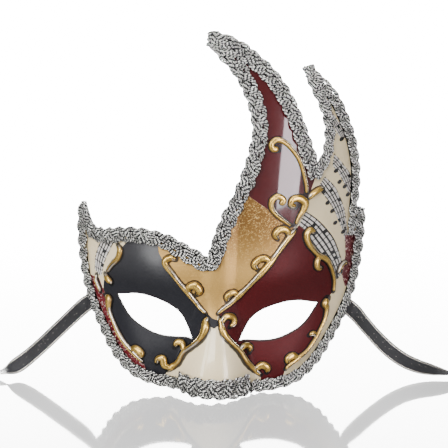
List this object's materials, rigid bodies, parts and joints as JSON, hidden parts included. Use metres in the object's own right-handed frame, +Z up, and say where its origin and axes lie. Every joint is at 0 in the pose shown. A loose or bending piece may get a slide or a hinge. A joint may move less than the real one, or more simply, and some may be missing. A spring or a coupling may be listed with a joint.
{
  "type": "venetian masquerade mask",
  "caption": "Half mask with a tall curling plume, a second plume and a horn, painted panels, raised gilt scrolls, metallic gimp braid round the edge and two tie ribbons.",
  "frame": {"origin": "on the floor, under the middle of the mask's box without its ribbons", "axes": "+Z up, the face looks along -Y, +X to the right as seen from the front"},
  "size_m": [0.4166, 0.1087, 0.22],
  "materials": {
    "painted_shell": "painted panels: black, burgundy, cream and glitter gold, glossy",
    "metallic_braid": "silver and black metallic gimp yarn",
    "gold_relief": "raised paint, antique gold with silver stems",
    "satin_ribbon": "charcoal satin with silver threads",
    "tie_band": "black elastic band",
    "cloth_patch": "black felt"
  },
  "bodies": {
    "root": {"mask_shell": "painted_shell", "braid_brow": "metallic_braid", "braid_plume_right": "metallic_braid", "braid_second_plume_inner": "metallic_braid", "braid_second_plume_outer": "metallic_braid", "braid_right_side": "metallic_braid", "braid_left_side": "metallic_braid", "braid_nose": "metallic_braid", "relief_nose_left_upper": "gold_relief", "relief_nose_left_lower": "gold_relief", "relief_nose_right_lower": "gold_relief", "relief_forehead": "gold_relief", "relief_plume_curl": "gold_relief", "relief_plume_hook": "gold_relief", "relief_plume_arc": "gold_relief", "relief_plume_leaf": "gold_relief", "relief_temple_right": "gold_relief", "relief_cheek_right": "gold_relief", "relief_twig_right": "gold_relief", "relief_temple_left": "gold_relief", "relief_cheek_left": "gold_relief", "relief_twig_left": "gold_relief", "ribbon_left": "satin_ribbon", "ribbon_right": "satin_ribbon", "ribbon_roll_left": "satin_ribbon", "ribbon_roll_right": "satin_ribbon", "ribbon_tie_left": "tie_band", "ribbon_tie_right": "tie_band", "ribbon_patch_left": "cloth_patch", "ribbon_patch_right": "cloth_patch"}
  },
  "joints": []
}
